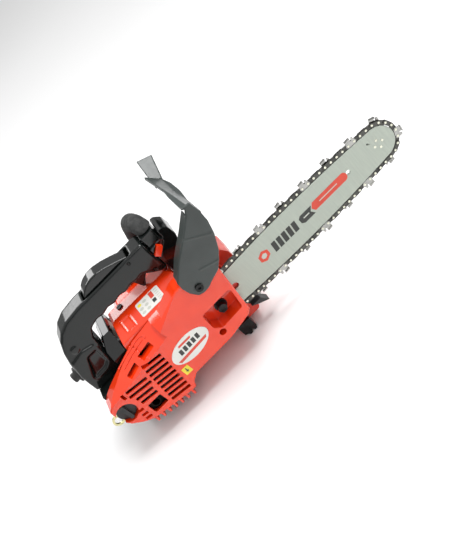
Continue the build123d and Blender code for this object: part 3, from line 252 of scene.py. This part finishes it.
def slab(name, points, to_world, thickness, material, body="saw", replaced=()):
    """A thin plate with the outline points (mm), set in place by to_world(u, v, height)."""
    mesh = bpy.data.meshes.new(name)
    bm = bmesh.new()
    low = [bm.verts.new(to_world(u, v, 0.0)) for u, v in points]
    high = [bm.verts.new(to_world(u, v, thickness)) for u, v in points]
    bm.faces.new(low[::-1])
    bm.faces.new(high)
    for i in range(len(points)):
        j = (i + 1) % len(points)
        bm.faces.new((low[i], low[j], high[j], high[i]))
    bmesh.ops.recalc_face_normals(bm, faces=bm.faces)
    bm.to_mesh(mesh)
    bm.free()
    return link(name, mesh, material, body, replaced)


def on_side(y):
    """Places u, v, height on the right face at y, in millimetres."""
    return lambda u, v, h: Vector((u, y - h, v)) * MM


def on_plane(origin, along, across, normal):
    """Places u, v, height on a leaning plane, in millimetres."""
    along, across, normal = (Vector(v).normalized() for v in (along, across, normal))
    return lambda u, v, h: (Vector(origin) + along * u + across * v + normal * h) * MM


def ellipse(cx, cz, rx, rz, count=48, turn=0.0):
    points = []
    for i in range(count):
        t = 2 * math.pi * i / count
        u, v = rx * math.cos(t), rz * math.sin(t)
        x = cx + u * math.cos(turn) - v * math.sin(turn)
        z = cz + u * math.sin(turn) + v * math.cos(turn)
        points.append((x, z))
    return points


def slanted(x0, z0, length, height, lean=0.0):
    """Parallelogram standing on the bar's centre line direction."""
    top = z0 + height
    return [(x0, z0), (x0 + length, z0), (x0 + length + lean, top), (x0 + lean, top)]


print_dark = plastic("print_dark", (0.020, 0.022, 0.020), (0.035, 0.037, 0.034),
                     (0.3, 0.4), 900.0, 0.02, edge=0.0)
print_red = plastic("print_red", (0.62, 0.055, 0.03), (0.74, 0.075, 0.04),
                    (0.3, 0.4), 900.0, 0.02, edge=0.0)
print_pale = plastic("print_pale", (0.50, 0.52, 0.46), (0.58, 0.60, 0.54),
                     (0.3, 0.4), 900.0, 0.02, edge=0.0)
print_yellow = plastic("print_yellow", (0.80, 0.66, 0.04), (0.88, 0.74, 0.06),
                       (0.3, 0.4), 900.0, 0.02, edge=0.0)

# ------------------------------------------------------------------ moulded pieces
softened("handle_body", "handle_shell", dark_plastic, "saw", 0.0011, 16)
softened("hand_guard", "guard_shell", guard_plastic, "chain_brake_guard", 0.0009, 4)
softened("throttle_lock", "lock_lever", black_gloss, "throttle_lock_body", 0.0008, 26)
softened("throttle_trigger", "trigger_lever", black_gloss, "throttle_trigger_body", 0.0006, 5)
softened("switch_housing", "switch_box", black_gloss, "saw", 0.0009, 4)
softened("top_cover", "top_shell", red, "saw", 0.0008, 3)


def foam_sleeve():
    """The foam grip: a relaxed sleeve with a pitted skin and three pressed rings near its upper end."""
    sleeve = softened("foam_grip", "foam_sleeve", foam, "saw", 0.0011, 3)
    rings = [Vector(p) * MM for p in ((61.5, 2.0, 222.5), (58.5, 11.0, 219.5), (55.0, 20.0, 216.0))]
    ring_radius, ring_width, ring_depth = 0.0030, 0.0007, 0.0007
    moved = []
    for vertex in sleeve.data.vertices:
        pits = 0.00016 * (1.0 + cell_noise.noise(vertex.co * 520.0))
        waves = 0.00022 * (1.0 + cell_noise.noise(vertex.co * 90.0))
        press = 0.0
        for centre in rings:
            off = (vertex.co - centre).length - ring_radius
            press += ring_depth * math.exp(-(off / ring_width) ** 2)
        moved.append(vertex.co - vertex.normal * (pits + waves + press))
    for vertex, place in zip(sleeve.data.vertices, moved):
        vertex.co = place


foam_sleeve()

# ------------------------------------------------------------------ printed marks on the bar
BAR_FACE = -37.62


def bar_marks():
    bar = on_side(BAR_FACE)
    slab("bar_mark_hex", ellipse(144, 76, 9.5, 8.0, 6, 0.5), bar, 0.05, print_red)
    slab("bar_mark_hex_in", ellipse(144, 76, 4.6, 3.8, 6, 0.5), bar, 0.08, print_pale)
    for number in range(5):
        block = slanted(158.0 + 8.6 * number, 67.5, 6.5, 15.0, 2.0)
        slab("bar_mark_bar_%d" % number, block, bar, 0.05, print_dark)
    tag = [
        (205.5, 71.0), (209.5, 68.0), (227.0, 68.0), (223.5, 74.5), (228.5, 81.0), (209.5, 81.0),
        (205.5, 78.0),
    ]
    slab("bar_mark_tag", tag, bar, 0.05, print_dark)
    slab("bar_mark_tag_line", slanted(211.5, 74.0, 9.5, 1.6), bar, 0.08, print_pale)
    turns = [math.radians(degrees) for degrees in range(0, 181, 15)]
    end = [(281 + 5.5 * math.sin(turn), 76.6 - 6.2 * math.cos(turn)) for turn in turns]
    band = [(229.5, 70.4)] + end + [(231.5, 82.8), (226.5, 76.4)]
    slab("bar_mark_band", band, bar, 0.05, print_red)
    slab("bar_mark_band_line", slanted(240.0, 76.0, 30.0, 1.3), bar, 0.08, print_pale)
    slab("bar_mark_oil_dot", ellipse(328.6, 86.0, 1.2, 1.2, 20), bar, 0.05, print_dark)


bar_marks()


# ------------------------------------------------------------------ badge and labels
def labels():
    face = on_side(-64.0)
    badge = ellipse(2.4, 77.5, 30.0, 17.0, 64, 0.10)
    slab("badge_plate", badge, face, 0.8, label_white, "saw", ("label_plates",))
    slab("badge_band", [(-21, 67.5), (24, 70.5), (26.5, 74.5), (-23.5, 71.5)], face, 0.9, print_red)
    for number in range(5):
        stripe = slanted(-14 + 7.2 * number, 75.6 + 0.5 * number, 5.0, 8.0, 1.0)
        slab("badge_stripe_%d" % number, stripe, face, 0.9, print_dark)
    slab("badge_top_band", slanted(-9.0, 86.8, 20.0, 3.0, 1.0), face, 0.9, print_red)
    slab("small_plate", slanted(-29.5, 48.5, 10.5, 12.0), face, 0.5, print_yellow)
    arrow = [
        (-26.5, 54.5), (-24.2, 51.0), (-22.0, 54.5), (-23.5, 54.5), (-23.5, 58.5), (-25.0, 58.5),
        (-25.0, 54.5),
    ]
    slab("small_plate_arrow", arrow, face, 0.6, print_dark)
    slope = on_plane((0, -22.5, 138.5), (1, 0, 0), (0, 29, 15), (0, -15, 29))
    plate = [
        (-13, -9), (-11.5, -10.5), (23.5, -10.5), (25, -9), (25, 9), (23.5, 10.5), (-11.5, 10.5),
        (-13, 9),
    ]
    slab("top_plate", plate, slope, 0.5, label_white)
    for row in range(3):
        for column in range(2):
            spot = ellipse(-8.0 + column * 8.5, -6.2 + row * 6.0, 3.0, 1.9, 24)
            ink = print_yellow if (row, column) == (2, 0) else print_pale
            slab("top_plate_spot_%d_%d" % (row, column), spot, slope, 0.6, ink)
    slab("top_plate_red", slanted(9.0, 1.0, 6.0, 8.5), slope, 0.6, print_red)
    slab("top_plate_dark", slanted(9.0, -6.0, 5.5, 5.0), slope, 0.6, print_dark)
    for row in range(6):
        line = slanted(17.0, -8.0 + row * 3.0, 5.5, 1.1)
        slab("top_plate_line_%d" % row, line, slope, 0.6, print_pale)


labels()


def cover_ribs():
    """Two raised ribs along the upper edge of the clutch cover's leaning facet."""
    normal = Vector((-0.12, -0.62, 0.78)).normalized()
    along = Vector((104.0, 0.0, 15.0))
    along = (along - normal * along.dot(normal)).normalized()
    facet = on_plane((-76, -64, 100), along, normal.cross(along), normal)
    outer = [(-3, 24.4), (18, 27.8), (38, 29.8), (46, 29.6), (50, 26.8), (50.4, 22.0)]
    inner = [(2, 18.6), (23, 22.6), (36, 23.8), (45.6, 24.0)]
    for name, path, width in (("cover_rib_outer", outer, 2.0), ("cover_rib_inner", inner, 1.6)):
        sides = []
        for index, point in enumerate(path):
            before, after = path[max(index - 1, 0)], path[min(index + 1, len(path) - 1)]
            step = Vector((after[0] - before[0], after[1] - before[1])).normalized()
            sides.append((Vector(point), Vector((-step.y, step.x)) * width / 2))
        rim = [tuple(p + off) for p, off in sides] + [tuple(p - off) for p, off in reversed(sides)]
        slab(name, rim, facet, 0.9, red)


cover_ribs()

BY_NODE = {
    "nose_hub": rivet, "chain_catcher": black_plastic, "bar_stud": dark_steel,
    "tension_screw": dark_steel, "casing_screws": dark_steel, "oil_pump": black_plastic,
}
for name, material in BY_NODE.items():
    for slot in frame["nodes"][name].material_slots:
        slot.material = material

# ------------------------------------------------------------------ studio
FLOOR_HALF = 6.0                     # metres
LAMP_AIM = (0.05, 0.0, 0.08)
LAMPS = (                            # name, place, size, power in watts
    ("overhead", (0.45, 0.0, 1.3), 0.7, 15.0),
    ("front", (0.2, -1.5, 1.1), 0.8, 5.5),
    ("left", (-0.6, 1.4, 1.1), 0.6, 4.5),
)


def floor_and_sky():
    mesh = bpy.data.meshes.new("floor")
    corners = [(x * FLOOR_HALF, y * FLOOR_HALF, 0) for x, y in ((-1, -1), (1, -1), (1, 1), (-1, 1))]
    mesh.from_pydata(corners, [], [(0, 1, 2, 3)])
    floor = bpy.data.objects.new("floor", mesh)
    bpy.context.scene.collection.objects.link(floor)
    mat, tree, shader = new_material("floor")
    tone = noise(tree, 1.5, 2.0)
    shades = [(0.0, (0.86,) * 3), (1.0, (0.90,) * 3)]
    tree.links.new(ramp(tree, tone, shades), shader.inputs["Base Color"])
    shader.inputs["Roughness"].default_value = 0.9
    mesh.materials.append(mat)
    world = bpy.data.worlds.new("world")
    world.use_nodes = True
    tree = world.node_tree
    coords = tree.nodes.new("ShaderNodeTexCoord")
    split = tree.nodes.new("ShaderNodeSeparateXYZ")
    tree.links.new(coords.outputs["Generated"], split.inputs["Vector"])
    sky = ramp(tree, split.outputs["Z"], [(0.0, (0.30,) * 3), (0.45, (0.55,) * 3), (0.9, (0.85,) * 3)])
    tree.links.new(sky, tree.nodes["Background"].inputs["Color"])
    tree.nodes["Background"].inputs["Strength"].default_value = 1.0
    bpy.context.scene.world = world
    bpy.context.scene.view_settings.view_transform = "Standard"


def lamps():
    for name, place, size, power in LAMPS:
        data = bpy.data.lights.new(name, "AREA")
        data.energy = power
        data.size = size
        lamp = bpy.data.objects.new(name, data)
        lamp.location = place
        direction = Vector(place) - Vector(LAMP_AIM)
        lamp.rotation_euler = direction.to_track_quat("Z", "Y").to_euler()
        bpy.context.scene.collection.objects.link(lamp)


floor_and_sky()
lamps()
